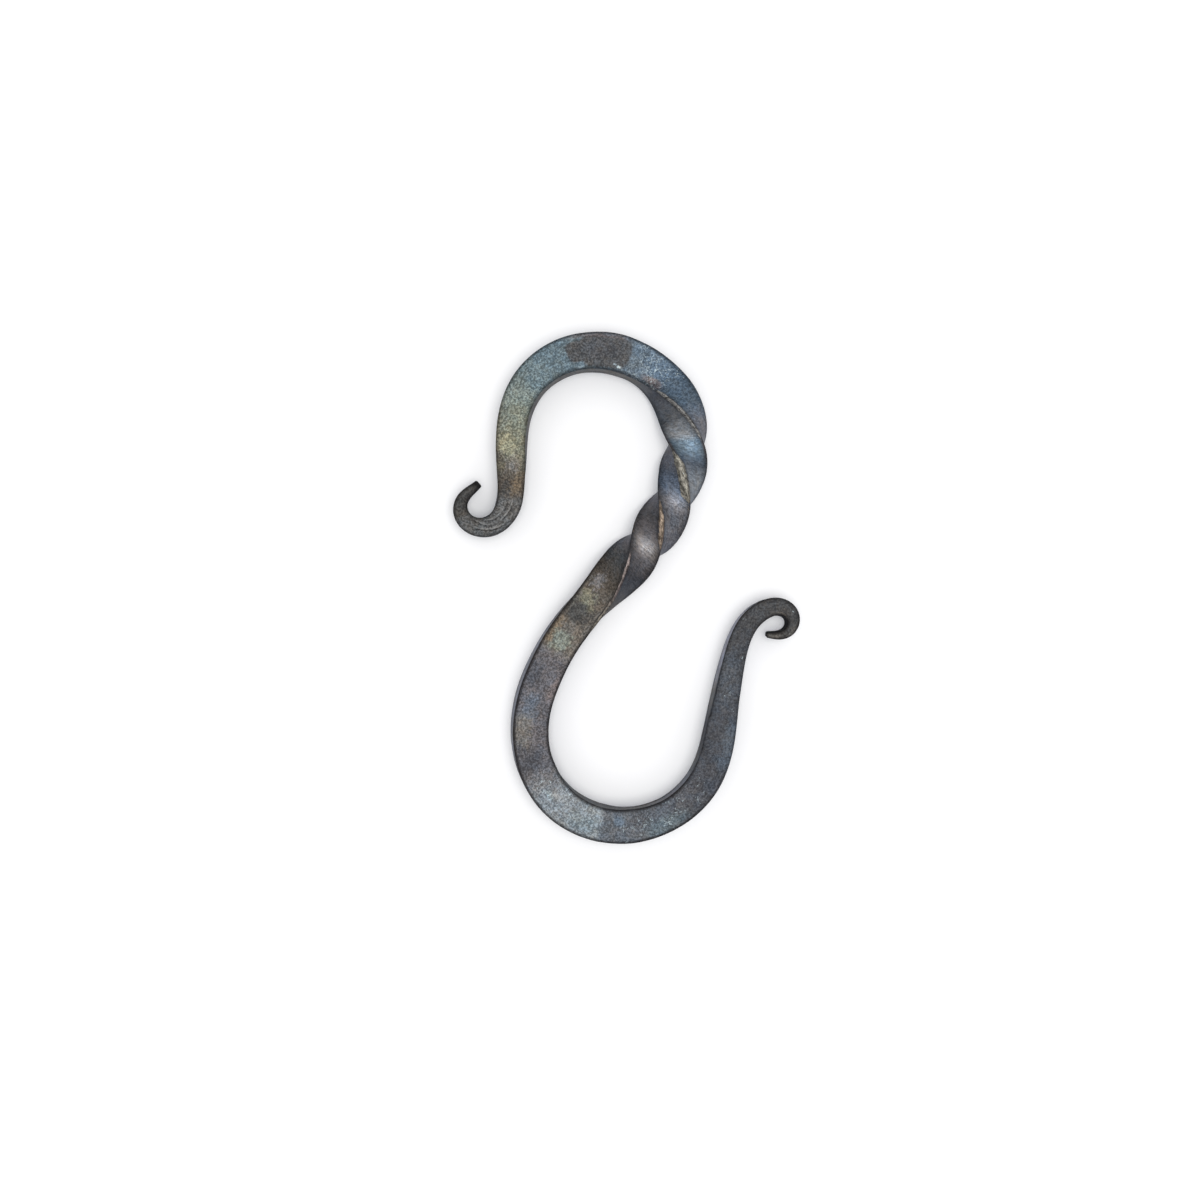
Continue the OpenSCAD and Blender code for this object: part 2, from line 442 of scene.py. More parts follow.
def bare_strips(s, across, up, wide, thick):
    """How far each point lies inside a bare strip on a ridge of the twist, from 0 outside to 1
    inside, by its distance from the strip's corner of the bar."""
    bare = np.zeros_like(s)
    for side, level, in_across, in_up, pairs in BARE_STRIPS:
        away = np.hypot(across - side * (wide / 2 - in_across), up - level * (thick / 2 - in_up))
        bare = np.maximum(bare, (along_the_bar(s, pairs) - away) / STRIP_FADE + 0.5)
    return np.clip(bare, 0, 1)


def burr(s):
    """How far the burr stands out: its depth times the squared share of its length, up to the short
    step in which it ends."""
    grown = np.clip((s - BURR_FROM) / (BURR_TO - BURR_FROM), 0, 1) ** 2
    return BURR_DEPTH * grown * np.clip((BURR_END - s) / (BURR_END - BURR_TO), 0, 1)


def edge_shade_line(gap, direction):
    """How dark a point is in the line of painted shade along its long edge: one less the square of
    its place on the rounding, from -1 to 1, and beside the rounding a share that fades as
    exp(-distance / fade)."""
    arc = direction % (np.pi / 2) / (np.pi / 4) - 1
    return np.maximum(1 - arc**2, LINE_SHARE * np.exp(-gap / LINE_FADE))


# The forged bar's mesh

def stations():
    """Places of the rings: close together round each tip's rim, and even between."""
    rim = TIP_ROUND * (1 - np.cos(np.linspace(0, np.pi / 2, RIM_RINGS + 1)[:-1]))
    even = np.linspace(TIP_ROUND, BAR_LEN - TIP_ROUND, RINGS)
    return np.concatenate([rim, even, (BAR_LEN - rim)[::-1]])


def way_to_cad_place(s):
    """How far the bar moves from where its centre line starts to where the CAD part lies: the
    middle of the box round the even bar comes over the middle of the part's box, and the flats on
    the ridges come down to its underside."""
    across, up, _, _ = square_bar(s, width(s)[:, None], thickness(s)[:, None])
    x, y = set_on_line(s, turned(s, across, up)[0])
    return np.array([
        (cad_low[0] + cad_high[0]) / 2 / MM - (x.min() + x.max()) / 2,
        (cad_low[1] + cad_high[1]) / 2 / MM - (y.min() + y.max()) / 2,
        cad_low[2] / MM + RIDGE_H,
    ])


def forge_bar():
    """The hook's bar as points and marks. The straight bar is dished by the hammer, its edges
    wander, and its laps, its burr and its upper tip's bevel are made. Then its section is turned,
    struck flat on the ridges of the twist and leant over, and the bar is set on its centre line."""
    s = stations()
    wide = (width(s) + along_the_bar(s, FULLNESS))[:, None]
    thick = thickness(s)[:, None]
    across, up, gap, direction = square_bar(s, wide, thick)
    long_s = np.broadcast_to(s[:, None], across.shape)
    near_edge = np.clip(1 - gap / EDGE_BAND, 0, 1)
    around = np.arctan2(up / thick, across / wide) / (np.pi / 2)
    lap, lap_rise = laps(long_s, across, up)

    face_rise = lap_rise - hammer_blows(long_s, around, wide)
    out = face_rise * (1 - near_edge) + edge_wander(long_s, around) * near_edge
    top_left_edge = (across > 0) * (up > 0) * near_edge
    made_across = across + out * np.cos(direction) + burr(long_s) * top_left_edge
    bevel = BEVEL_DEPTH * np.clip(1 - long_s / BEVEL_LEN, 0, 1)
    made_up = soft_min(up + out * np.sin(direction), thick / 2 - bevel, STRUCK_BLEND)

    side, height = turned(s, made_across, made_up, along_the_bar(s, TWIST_DRIFT))
    level = along_the_bar(long_s, RIDGE_LEVEL)
    height = np.sign(height) * soft_min(np.abs(height), level, STRUCK_BLEND)
    side = side + along_the_bar(long_s, LEAN) * height / BAR + along_the_bar(long_s, DRIFT)
    x, y = set_on_line(s, side)
    points = np.stack([x, y, height], axis=-1) + way_to_cad_place(s)

    # The finish takes the bar as if it were as thick at its tips as elsewhere
    marks = {
        "bar_place": np.stack([long_s, across, up * BAR / thick], axis=-1),
        "edge": edge_shade_line(gap, direction),
        "bare": bare_strips(long_s, across, up, wide, thick),
        "lap": lap,
    }
    return points, marks


def closed_tube(points):
    """Faces of a tube through rings of points, and of a fan that closes each end on a middle point,
    whose numbers come after all rings."""
    rings, n = points.shape[:2]
    ring = np.arange(rings - 1)[:, None] * n
    k = np.arange(n)[None, :]
    nxt = (k + 1) % n
    walls = np.stack([ring + k, ring + n + k, ring + n + nxt, ring + nxt], axis=-1).reshape(-1, 4)
    first, last = rings * n, rings * n + 1
    k, nxt = k[0], nxt[0]
    start = np.stack([k, nxt, np.full(n, first)], axis=-1)
    end = np.stack([(rings - 1) * n + nxt, (rings - 1) * n + k, np.full(n, last)], axis=-1)
    return walls.tolist() + start.tolist() + end.tolist()


def with_ends(values):
    """Ring values in one row, with the mean of the first ring and of the last added for the end
    points."""
    flat = values.reshape(-1, *values.shape[2:])
    return np.concatenate([flat, values[:1].mean(axis=1), values[-1:].mean(axis=1)])


def add_attribute(mesh, name, values):
    """A named value on every point of the mesh, for its material: a vector or a number."""
    kind, key = ("FLOAT_VECTOR", "vector") if values.ndim == 2 else ("FLOAT", "value")
    attribute = mesh.attributes.new(name, kind, "POINT")
    attribute.data.foreach_set(key, values.astype(np.float32).ravel())


def make_bar():
    """The forged bar as an object, with its marks kept as attributes of its mesh."""
    points, marks = forge_bar()
    mesh = bpy.data.meshes.new("forged_bar")
    mesh.from_pydata((with_ends(points) * MM).tolist(), [], closed_tube(points))
    for name, values in marks.items():
        add_attribute(mesh, name, with_ends(values))
    mesh.shade_smooth()
    mesh.update()
    bar = bpy.data.objects.new("forged_bar", mesh)
    scene.collection.objects.link(bar)
    return bar


# Colours

def colour(red, green, blue):
    """A colour as a screen shows it, from 0 to 255, as the linear light that a socket holds."""
    shown = np.array([red, green, blue]) / 255
    linear = np.where(shown <= 0.04045, shown / 12.92, ((shown + 0.055) / 1.055) ** 2.4)
    return (*linear.tolist(), 1)


# Dark scale, and also painted shade: the lines along the long edges, the laps' grooves and the
# sides inside the lower curl
SOOT_AND_SHADE = colour(42, 40, 40)
SCALE_BLACK = colour(72, 71, 70)
CHARCOAL = colour(80, 82, 87)
INK_BLUE = colour(76, 79, 84)
WARM_BLACK = colour(80, 78, 75)
ASH = colour(89, 90, 91)
SLATE = colour(91, 91, 94)
CURL_GREY = colour(104, 104, 103)
IRON_GREY = colour(102, 102, 102)
WALL_GREY = colour(124, 123, 121)
PURPLE_GREY = colour(106, 104, 107)
BLUE_GREY = colour(106, 110, 115)
TEAL = colour(116, 132, 137)
STEEL_BLUE = colour(106, 119, 130)
SLATE_BLUE = colour(101, 109, 119)
NIGHT_BLUE = colour(100, 116, 131)
# Painted highlights where a twisted face lies level: on blue scale, and white
PAINTED_HIGHLIGHT_BLUE = colour(107, 124, 138)
PAINTED_HIGHLIGHT_WHITE = colour(140, 144, 148)
DUSK_BLUE = colour(98, 110, 126)
# Painted highlight where a twisted face lies level
PAINTED_HIGHLIGHT_GREY = colour(120, 121, 126)
PALE_BLUE = colour(138, 143, 146)
GREEN_GREY = colour(134, 140, 129)
OLIVE = colour(138, 137, 119)
BROWN = colour(94, 87, 79)
DUN = colour(108, 103, 96)
TAN = colour(124, 109, 88)
PINK_GREY = colour(128, 118, 117)
PALE_GREY = colour(122, 118, 112)
PALE_OLIVE = colour(158, 154, 128)
MID_GREY = colour(132, 129, 128)
# Painted reflections of the pale floor on the walls
FLOOR_REFLECTION_LAVENDER = colour(137, 139, 147)
PALE_FLOOR_REFLECTION = colour(170, 172, 184)
BARE_GREY = colour(100, 99, 97)
BARE_OLIVE = colour(108, 105, 97)
BARE_TAN = colour(107, 95, 83)
BARE_PINK = colour(104, 95, 92)
BARE_DUN = colour(106, 101, 92)
# Pale specks, and painted glints
SPECK_AND_GLINT = colour(190, 204, 208)
# Painted highlight on the laps' lips
LIP_HIGHLIGHT_GREY = colour(150, 150, 148)


# Helpers for node trees

class Nodes:
    """Adds nodes to one tree. An input takes a plain value or another node's output socket."""

    def __init__(self, tree):
        self.tree = tree

    def add(self, kind, inputs=None, **settings):
        """One node, with its settings and then its inputs."""
        node = self.tree.nodes.new(kind)
        for name, value in settings.items():
            setattr(node, name, value)
        for key, value in (inputs or {}).items():
            if isinstance(value, bpy.types.NodeSocket):
                self.tree.links.new(value, node.inputs[key])
            else:
                node.inputs[key].default_value = value
        return node

    def math(self, operation, *values):
        """A Math node's result. Where there are more than two values, each further one is taken
        with the result so far."""
        first = dict(enumerate(values[:2]))
        result = self.add("ShaderNodeMath", first, operation=operation).outputs[0]
        return self.math(operation, result, *values[2:]) if values[2:] else result

    def vector(self, operation, *values):
        """A Vector Math node's result, which is a number for a dot product or a length."""
        node = self.add("ShaderNodeVectorMath", dict(enumerate(values)), operation=operation)
        return node.outputs["Value" if operation in ("DOT_PRODUCT", "LENGTH") else "Vector"]

    def scaled(self, vector, factor):
        """A vector or a colour times a number."""
        inputs = {0: vector, "Scale": factor}
        return self.add("ShaderNodeVectorMath", inputs, operation="SCALE").outputs["Vector"]

    def parts(self, vector):
        """The three parts of a vector."""
        return self.add("ShaderNodeSeparateXYZ", {0: vector}).outputs

    def ramp(self, value, start, end, low=0.0, high=1.0):
        """A number that goes smoothly from low to high while value goes from start to end."""
        inputs = {"Value": value, "From Min": start, "From Max": end, "To Min": low, "To Max": high}
        node = self.add("ShaderNodeMapRange", inputs, interpolation_type="SMOOTHSTEP")
        return node.outputs["Result"]

    def mix(self, share, under, over):
        """Two colours mixed, with that share of the one over the other."""
        inputs = {0: share, 6: under, 7: over}
        return self.add("ShaderNodeMix", inputs, data_type="RGBA").outputs[2]

    def noise(self, place, spacing, detail=2.0, roughness=0.5, distortion=0.0):
        """A Noise node over a place in millimetres, whose blotches are about one spacing apart."""
        inputs = {"Vector": place, "Scale": 1 / spacing, "Detail": detail, "Roughness": roughness,
                  "Distortion": distortion}
        return self.add("ShaderNodeTexNoise", inputs).outputs

    def run(self, along, pairs):
        """A Color Ramp along the bar over (place, colour) pairs. A number stands for a grey."""
        node = self.add("ShaderNodeValToRGB", {"Fac": self.math("DIVIDE", along, BAR_LEN)})
        stops = node.color_ramp.elements
        while len(stops) < len(pairs):
            stops.new(1.0)
        for stop, (place, tint) in zip(stops, pairs):
            stop.position = place / BAR_LEN
            stop.color = tint if hasattr(tint, "__len__") else (tint, tint, tint, 1)
        return node.outputs["Color"]

    def group(self, tree, inputs):
        """The outputs of a group node, with its inputs given by name."""
        return self.add("ShaderNodeGroup", inputs, node_tree=tree).outputs


def new_group(name, inputs, outputs):
    """A shader node group with named sockets. Gives its tree, its helper, its input node's sockets
    and its output node's."""
    kinds = {"number": "NodeSocketFloat", "vector": "NodeSocketVector", "colour": "NodeSocketColor"}
    tree = bpy.data.node_groups.new(name, "ShaderNodeTree")
    for in_out, sockets in (("INPUT", inputs), ("OUTPUT", outputs)):
        for socket, kind in sockets.items():
            tree.interface.new_socket(socket, in_out=in_out, socket_type=kinds[kind])
    n = Nodes(tree)
    return tree, n, n.add("NodeGroupInput").outputs, n.add("NodeGroupOutput").inputs


# Groups of the finish

# Marks of the scale's grain: crisp grains, flecks a millimetre across, a slow mottle and a stain of
# warm and cool. Each has its noise's spacing, detail and roughness, and the levels of that noise
# that stand for -1 and 1
GRAIN_MARKS = {
    "Grain": (0.36, 3, 0.75, 0.27, 0.77),
    "Fleck": (1.0, 4, 0.75, 0.36, 0.64),
    "Mottle": (3.2, 4, 0.6, 0.35, 0.65),
    "Stain": (2.1, 5, 0.8, 0.36, 0.64),
}
# Wrinkles to a millimetre along, across and up the bar, and the levels of their noise
WRINKLE_SCALE = (3.2, 0.9, 0.9)
WRINKLE_LEVELS = (0.34, 0.66)
# Streaks: how far from its middle value the fine noise may be, and for the coarser noise the level
# at which clusters start, how much the amount lowers it and how soon they are full
STREAK_WIDTH = (0.006, 0.03)
CLUSTER_LEVEL = 0.75
CLUSTER_GAIN = 0.3
CLUSTER_FADE = 0.06


def patch_group():
    """A patch of tint on the bar: a rounded block, since the fourth powers of the distances along,
    across and up, each over its reach, add up to one on its border, which is ragged by a shared
    noise."""
    inputs = {"Base": "colour", "Tint": "colour", "Place": "vector", "Wander": "vector",
              "Ragged": "number", "Centre": "vector", "Reach": "vector", "Softness": "number",
              "Strength": "number"}
    tree, n, given, out = new_group("tint patch", inputs, {"Colour": "colour"})
    place = n.vector("ADD", given["Place"], n.scaled(given["Wander"], given["Ragged"]))
    off = n.vector("DIVIDE", n.vector("SUBTRACT", place, given["Centre"]), given["Reach"])
    square = n.vector("MULTIPLY", off, off)
    size = n.math("POWER", n.vector("DOT_PRODUCT", square, square), 0.25)
    inner = n.math("SUBTRACT", 1.0, given["Softness"])
    outer = n.math("ADD", 1.0, given["Softness"])
    mask = n.math("MULTIPLY", n.ramp(size, inner, outer, 1.0, 0.0), given["Strength"])
    tree.links.new(n.mix(mask, given["Base"], given["Tint"]), out["Colour"])
    return tree


def grain_group():
    """The fine grain of forge scale: each of its marks is a noise of its own, from -1 to 1."""
    outputs = {name: "number" for name in GRAIN_MARKS}
    tree, n, given, out = new_group("scale grain", {"Place": "vector"}, outputs)
    for name, (spacing, detail, roughness, low, high) in GRAIN_MARKS.items():
        noise = n.noise(given["Place"], spacing, detail, roughness)["Fac"]
        tree.links.new(n.ramp(noise, low, high, -1.0, 1.0), out[name])
    return tree


def wrinkle_group():
    """Wrinkles in the scale that run across the bar, as the twist crumples it: noise that is
    squeezed along the bar."""
    tree, n, given, out = new_group("scale wrinkles", {"Place": "vector"}, {"Height": "number"})
    squeezed = n.vector("MULTIPLY", given["Place"], WRINKLE_SCALE)
    noise = n.noise(squeezed, 1.0, detail=3, roughness=0.6, distortion=1.2)["Fac"]
    tree.links.new(n.ramp(noise, *WRINKLE_LEVELS, -1.0, 1.0), out["Height"])
    return tree


def streak_group():
    """Short pale streaks: where a fine noise crosses its middle value, kept only in clusters, which
    a coarser noise picks out and which spread as the amount goes up."""
    inputs = {"Place": "vector", "Amount": "number"}
    tree, n, given, out = new_group("pale streaks", inputs, {"Mask": "number"})
    fine = n.noise(given["Place"], 0.7, detail=1, roughness=0.4, distortion=0.6)["Fac"]
    off_middle = n.math("ABSOLUTE", n.math("SUBTRACT", fine, 0.5))
    line = n.ramp(off_middle, *STREAK_WIDTH, 1.0, 0.0)
    coarse = n.noise(given["Place"], 0.9)["Fac"]
    level = n.math("SUBTRACT", CLUSTER_LEVEL, n.math("MULTIPLY", given["Amount"], CLUSTER_GAIN))
    cluster = n.ramp(n.math("SUBTRACT", coarse, level), 0.0, CLUSTER_FADE)
    tree.links.new(n.math("MULTIPLY", line, cluster), out["Mask"])
    return tree


# Finish of the bar

# Colours of the top and the underside, along the bar. In the twist the pale stops where a face lies
# level are painted highlights, and the darker stops between them painted shade
FLAT_RUN = [
    (0, SOOT_AND_SHADE), (1.2, WARM_BLACK), (7.4, WARM_BLACK), (8.0, CURL_GREY), (18.6, CURL_GREY),
    (19.8, BROWN), (22.4, BROWN), (27, OLIVE), (29, OLIVE), (35, GREEN_GREY), (41, TEAL),
    # From 75.5 to 92: painted highlights where a face lies level, with painted shade between
    (61, STEEL_BLUE), (67, NIGHT_BLUE), (72, NIGHT_BLUE), (75.5, PAINTED_HIGHLIGHT_GREY), (78, PAINTED_HIGHLIGHT_GREY),
    (80, PURPLE_GREY), (87, DUSK_BLUE), (89.5, PAINTED_HIGHLIGHT_GREY), (92, PAINTED_HIGHLIGHT_GREY), (99, PURPLE_GREY),
    (103, ASH), (107, BROWN), (122, PALE_GREY), (124, PURPLE_GREY), (144, PURPLE_GREY),
    (150, PALE_BLUE), (159.7, PALE_BLUE), (160.1, BLUE_GREY), (180, CHARCOAL), (200, INK_BLUE),
    (BAR_LEN, WARM_BLACK),
]
# Colours of the two sides, along the bar. In the twist they hold painted highlights and painted
# shade as on the top, and further on painted reflections of the pale floor and painted shade inside
# the lower curl
SIDE_RUN = [
    (0, SCALE_BLACK), (20, CHARCOAL), (30, WALL_GREY), (62, WALL_GREY), (68, CHARCOAL),
    # From 75.5 to 101: painted highlights where a face lies level, with painted shade between
    (74, BLUE_GREY), (75.5, PAINTED_HIGHLIGHT_WHITE), (77.3, PAINTED_HIGHLIGHT_WHITE), (78.3, PAINTED_HIGHLIGHT_BLUE),
    (80.3, PAINTED_HIGHLIGHT_BLUE), (82, SLATE_BLUE), (84.5, PAINTED_HIGHLIGHT_WHITE), (87.5, PAINTED_HIGHLIGHT_WHITE),
    (89.5, PURPLE_GREY), (93, SLATE), (96, PURPLE_GREY), (98.5, MID_GREY), (101, PURPLE_GREY),
    # The lavender stops, here and from 202 to 210, are painted reflections of the pale floor on the
    # walls
    (105, CHARCOAL), (112, DUN), (122, FLOOR_REFLECTION_LAVENDER), (140, FLOOR_REFLECTION_LAVENDER), (148, IRON_GREY),
    (168, WALL_GREY), (176, FLOOR_REFLECTION_LAVENDER), (184, IRON_GREY), (191, CHARCOAL), (197, WALL_GREY),
    # From 214 on, the near-black sides are painted shade inside the lower curl
    (202, PALE_FLOOR_REFLECTION), (210, PALE_FLOOR_REFLECTION), (214, SOOT_AND_SHADE), (BAR_LEN, SOOT_AND_SHADE),
]
# Colours of the ridges of the twist where they were struck bare
RIDGE_RUN = [
    (70, BARE_GREY), (79, BARE_GREY), (81, BARE_OLIVE), (88, BARE_OLIVE), (90, BARE_TAN),
    (98, BARE_TAN), (101, BARE_PINK), (108, BARE_PINK), (112, BARE_DUN), (BAR_LEN, BARE_DUN),
]
# How dark the painted shade of the line along the long edges is
LINE_RUN = [
    (0, 0.9), (8, 0.55), (16, 0.45), (22, 0.45), (30, 0.5), (44, 0.7), (58, 0.75), (74, 0.7),
    (104, 0.8), (110, 1.0), (176, 1.0), (184, 0.3), (206, 0.3), (214, 0.7), (BAR_LEN, 0.7),
]
# How strong the grain and the flecks are along the bar
GRIT_RUN = [
    (0, 0.5), (8, 0.95), (20, 1), (36, 0.95), (48, 0.9), (52, 0.85), (58, 0.75), (64, 0.8),
    (72, 0.45), (104, 0.45), (112, 0.85), (124, 0.9), (144, 0.85), (150, 0.85), (182, 0.75),
    (190, 0.65), (BAR_LEN, 0.7),
]
# How many pale streaks lie along the bar
STREAK_RUN = [
    (0, 0.0), (28, 0.15), (40, 0.4), (48, 0.3), (50, 0.0), (58, 0.0), (60, 1.0), (67, 0.9),
    (71, 0.0), (144, 0.0), (148, 0.7), (157, 0.4), (160, 0.2), (165, 0.6), (176, 0.7),
    (184, 0.15), (195, 0.35), (204, 0.2), (BAR_LEN, 0.0),
]

# Patches of the top face: place along and across, reach along and across, softness, ragged edge,
# strength, tint
TOP_PATCHES = [
    (10.2, 1.3, 1.8, 0.5, 0.5, 0.5, 0.5, SCALE_BLACK),
    (22, -1.3, 2.2, 0.8, 0.25, 2.4, 0.45, TAN),
    (26.2, 1.6, 1.4, 0.9, 0.3, 1.8, 0.8, BROWN),
    (25, -0.1, 1.5, 1.1, 0.3, 1.6, 0.6, MID_GREY),
    (23.1, 0.9, 0.9, 1.5, 0.3, 1.6, 0.4, WARM_BLACK),
    (27.7, -0.3, 1.8, 1.6, 0.6, 0.8, 0.6, OLIVE),
    (33, 1.9, 4.5, 0.8, 0.5, 1.4, 0.2, SLATE),
    (20.8, 0.9, 1.2, 0.9, 0.3, 1.6, 0.6, SCALE_BLACK),
    (26, -1.6, 1.4, 0.8, 0.3, 1.8, 0.5, BROWN),
    (28.5, 0.7, 1.4, 1.3, 0.3, 2.0, 0.45, PALE_OLIVE),
    (55.2, -0.1, 4.5, 2.85, 0.08, 0.4, 1.0, ASH),
    (51.6, 0.1, 3.3, 1.9, 0.1, 0.4, 1.0, ASH),
    (54.6, 0.3, 3.2, 1.5, 0.5, 0.6, 0.5, SLATE),
    (54, 2.9, 4.5, 0.6, 0.4, 0.3, 0.5, PINK_GREY),
    (65.7, -2.1, 1.9, 0.7, 0.4, 0.6, 0.8, PINK_GREY),
    # Painted highlight on the twist where the face turns level
    (76.8, 0.2, 1.6, 1.2, 0.6, 0.6, 0.6, MID_GREY),
    (108.6, -0.9, 1.6, 0.9, 0.3, 1.8, 0.9, MID_GREY),
    (112.4, -0.7, 1.6, 1.6, 0.3, 1.8, 0.7, OLIVE),
    (115, -0.4, 1.8, 2.6, 0.3, 1.6, 0.9, WARM_BLACK),
    (119, 1.9, 3.4, 0.9, 0.4, 1.4, 0.35, BROWN),
    (119.6, -2.4, 2.6, 0.6, 0.4, 1.0, 0.6, TAN),
    (120.6, -0.2, 1.9, 1.6, 0.3, 1.6, 0.7, GREEN_GREY),
    (129.5, 2.5, 2.8, 0.6, 0.5, 0.4, 0.6, PINK_GREY),
    (127, -1.6, 3.2, 1.2, 0.4, 1.4, 0.5, CHARCOAL),
    (133.5, -0.6, 2.2, 1.4, 0.4, 1.4, 0.4, NIGHT_BLUE),
    (137.6, -1.5, 2.8, 1.4, 0.4, 1.4, 0.8, PALE_GREY),
    (142.5, -0.8, 2.4, 2.2, 0.4, 1.4, 0.6, CHARCOAL),
    (147, 1.6, 3, 1.0, 0.5, 0.8, 0.4, PURPLE_GREY),
    (149.6, -0.4, 0.7, 0.4, 0.6, 0.3, 0.6, SPECK_AND_GLINT),
    (157, -0.6, 2.6, 1.4, 0.5, 0.8, 0.4, TEAL),
    (158, 1.3, 1.8, 1.3, 0.4, 1.2, 0.12, SPECK_AND_GLINT),
    (163.4, 0.9, 1.0, 0.9, 0.5, 0.4, 0.6, NIGHT_BLUE),
    (167, 0.4, 2.2, 1.2, 0.6, 0.8, 0.4, SLATE),
    (171.4, -1.2, 3.6, 1.4, 0.4, 1.4, 0.4, TEAL),
    (176, 0.8, 3, 1.6, 0.4, 1.4, 0.5, SLATE),
    (188.2, -1.9, 4.6, 1.3, 0.4, 1.8, 0.25, STEEL_BLUE),
    (199, 0.2, 4, 1.5, 0.5, 0.9, 0.3, BLUE_GREY),
    # Painted glints on the inner edge of the crown
    (50.4, -2.7, 0.6, 0.15, 0.6, 0.1, 0.8, SPECK_AND_GLINT),
    (58.3, -2.4, 0.4, 0.2, 0.6, 0.1, 0.9, SPECK_AND_GLINT),
    (57.4, -2.1, 0.3, 0.15, 0.6, 0.1, 0.5, SPECK_AND_GLINT),
    # Painted highlight along the inner edge of the lower curl, and painted glints at its tip
    (217.3, -1.05, 2, 0.12, 0.6, 0.1, 0.7, PALE_GREY),
    (224.2, 0.1, 0.9, 0.3, 0.6, 0.1, 0.7, PALE_GREY),
    (221.6, 0.45, 0.7, 0.2, 0.6, 0.1, 0.6, PALE_GREY),
]
# Reach of a patch into the bar from the face that it lies on
PATCH_REACH_IN = 1.6
# Noise that makes the borders of the tints ragged: its spacing, how far it strays along and across
# the bar, and the share of it that the borders of the runs take
BORDER_SPACING = 1.4
BORDER_WANDER = (4, 4, 0)
RUN_RAGGED = 0.15

# Distance from the bar's middle at which its top and underside go over into its sides
SIDE_BORDER = (2.5, 2.9)
# Places between which the twist's finish comes in and goes out
TWIST_IN = (60, 68)
TWIST_OUT = (104, 112)

# Tone of the scale, as a factor on its colour: its base, its darkest, and what each mark adds
TONE_BASE = 0.89
TONE_LEAST = 0.42
GRAIN_TONE = 0.9
FLECK_TONE = 0.14
RIPPLE_TONE = 0.23
# What the mottle adds in the twist and on plain sides, and how much of the grit the sides have
MOTTLE_TONE = (0.03, 0.15)
SIDE_GRIT = 0.6
# How warm and cool the stain makes it
STAIN_TONE = 0.06
# Painted shade along the corners of the twist, where its faces turn away from the light: their
# distance from the bar's middle, and their tone
CORNER_BORDER = (0.8, 3.0)
CORNER_SHADE_TONE = 0.64
# Darker borders of the walls, the one at the foot being painted shade by the floor: heights from
# the bar's middle between which they darken, the share of that at the bottom, and their tone
WALL_BORDER = (1.6, 3.0)
WALL_FOOT_SHADE_SHARE = 0.7
WALL_BORDER_TONE = 0.5

# Bare ridges: how ragged the flecks make them, and the levels of the strip at which they go bare
BARE_RAGGED = 0.25
BARE_LEVELS = (0.4, 0.7)
# Bare steel's speckle: its spacing, the levels of its noise, and its darkest and lightest tone
SPECKLE_SPACING = 0.6
SPECKLE_LEVELS = (0.33, 0.67)
SPECKLE_TONE = (0.3, 1.75)
# Dark marks: least share where flecks break up the edges' line of painted shade, the border of a
# bare strip with the level at which it is full, the painted shade in the laps' grooves, and least
# share where flecks break up the laps
LINE_BROKEN = 0.7
STRIP_BORDER = 0.6
STRIP_BORDER_FULL = 0.3
GROOVE_SHADE = 0.8
LAP_BROKEN = 0.3
LAP_BREAK_LEVELS = (-0.8, 0.8)
# Pale marks: the painted highlight on the laps' lips, and the streaks
LIP_HIGHLIGHT = 0.55
STREAK_PALE = 0.7

# Roughness of the plain bar and of the twist, and what grain and dark marks add to it
ROUGHNESS = (0.62, 0.4)
GRAIN_ROUGHNESS = 0.05
MARK_ROUGHNESS = 0.25
METALLIC = 0.75
SPECULAR_LEVEL = 0.3
# What is left of the steel's reflection near grazing angles
EDGE_TINT = (0.35, 0.37, 0.42, 1)
# Relief: its depth and strength, and how much of it grain and wrinkles have
RELIEF_DEPTH = 0.02
RELIEF_STRENGTH = 0.6
GRAIN_RELIEF = 0.5
WRINKLE_RELIEF = 0.8


def read_marks(n):
    """What the finish hangs on, from the marks of the bar's mesh: a point's place along and up the
    straight bar, how far into a corner it is, and from 0 to 1 how much it is a side, twisted, a
    long edge, a bare strip or, down to -1 on its lip, a lap."""
    place, edge, strip, lap = (
        n.add("ShaderNodeAttribute", attribute_name=name).outputs
        for name in ("bar_place", "edge", "bare", "lap")
    )
    along, across, up = n.parts(place["Vector"])
    high = n.math("ABSOLUTE", up)
    return SimpleNamespace(
        place=place["Vector"],
        along=along,
        up=up,
        corner=n.math("MINIMUM", high, n.math("ABSOLUTE", across)),
        on_side=n.ramp(high, *SIDE_BORDER, 1.0, 0.0),
        in_twist=n.math("MULTIPLY", n.ramp(along, *TWIST_IN), n.ramp(along, *TWIST_OUT, 1.0, 0.0)),
        edge=edge["Fac"],
        strip=strip["Fac"],
        lap=lap["Fac"],
    )


def heat_colours_and_painted_light(n, at):
    """The colours that the fire left, with painted highlights and shade on the twist, painted
    reflections of the pale floor on the walls, painted shade inside the lower curl and painted
    glints: one run along the top and the underside, another along the sides, and patches on the
    top, all with ragged borders."""
    noise = n.noise(at.place, BORDER_SPACING, detail=6, roughness=0.8)["Color"]
    wander = n.vector("SUBTRACT", noise, (0.5, 0.5, 0.5))
    wander = n.vector("MULTIPLY", wander, BORDER_WANDER)
    along = n.math("ADD", at.along, n.math("MULTIPLY", n.parts(wander)["X"], RUN_RAGGED))
    tint = n.mix(at.on_side, n.run(along, FLAT_RUN), n.run(along, SIDE_RUN))
    patch = patch_group()
    for place, off, reach, reach_off, softness, ragged, strength, patch_tint in TOP_PATCHES:
        tint = n.group(patch, {
            "Base": tint, "Tint": patch_tint, "Place": at.place, "Wander": wander,
            "Ragged": ragged, "Centre": (place, off, BAR / 2),
            "Reach": (reach, reach_off, PATCH_REACH_IN), "Softness": softness,
            "Strength": strength,
        })["Colour"]
    return tint


